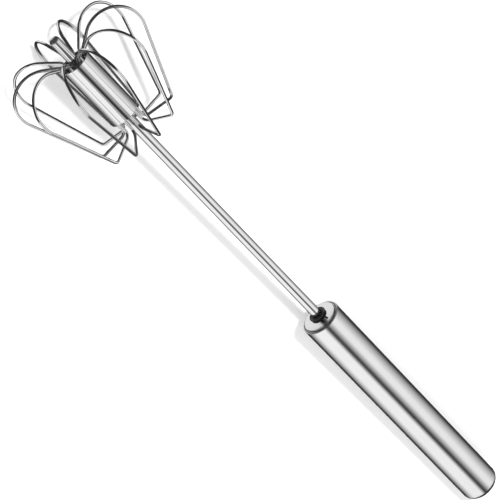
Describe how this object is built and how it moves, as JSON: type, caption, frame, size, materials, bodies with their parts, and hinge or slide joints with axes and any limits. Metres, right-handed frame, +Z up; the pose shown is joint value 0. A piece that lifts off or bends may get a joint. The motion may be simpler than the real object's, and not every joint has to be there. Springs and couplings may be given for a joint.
{
  "type": "egg beater",
  "caption": "Hand-push rotary whisk: pressing the tubular handle down its thin shaft spins a head of D-shaped wire loops; an inner spring pushes it back.",
  "frame": {"origin": "middle of the footprint, on the table that the tool lies on", "axes": "+X from the whisk head to the handle, +Z up from the table, the tool's axis falling 4.15 degrees towards the handle's end"},
  "size_m": [0.3556, 0.0728, 0.0689],
  "materials": {
    "satin_steel": "satin, brushed round the tube",
    "polished_steel": "mirror-polished stainless steel",
    "wire_steel": "bright drawn stainless wire",
    "spring_steel": "plain spring steel",
    "white_plastic": "moulded acetal",
    "black_plastic": "black moulded plastic"
  },
  "bodies": {
    "handle": {"handle_tube": "satin_steel", "front_cap": "polished_steel", "guide_bush": "black_plastic", "twisted_strip": "spring_steel", "strip_anchor": "black_plastic", "anchor_pin": "spring_steel", "return_spring": "spring_steel"},
    "piston": {"slide_piston": "white_plastic"},
    "whisk": {"shaft_tube": "polished_steel", "shaft_collar": "polished_steel", "drive_nut": "white_plastic", "head_sleeve": "polished_steel", "lower_hub": "polished_steel", "upper_hub": "polished_steel", "lower_hub_pin": "spring_steel", "upper_hub_pin": "spring_steel", "whisk_wire_01": "wire_steel", "whisk_wire_02": "wire_steel", "whisk_wire_03": "wire_steel", "whisk_wire_04": "wire_steel", "whisk_wire_05": "wire_steel", "whisk_wire_06": "wire_steel", "whisk_wire_07": "wire_steel", "whisk_wire_08": "wire_steel", "whisk_wire_09": "wire_steel", "whisk_wire_10": "wire_steel"}
  },
  "joints": [
    {"name": "handle_push", "type": "slide", "parent": "handle", "child": "piston", "axis": [0.9974, 0, -0.0724], "range_m": [0, 0.06], "stiffness_N_per_m": 250, "springref_m": -0.032, "deforming": ["return_spring"]},
    {"name": "whisk_spin", "type": "hinge", "parent": "piston", "child": "whisk", "pos_m": [0.04365, -0.00011, 0.0198], "axis": [0.9974, 0, -0.0724], "range_deg": [0, 772]}
  ],
  "couplings": [
    {"joint": "whisk_spin", "follows": "handle_push", "rad_per_m": 224.4}
  ]
}
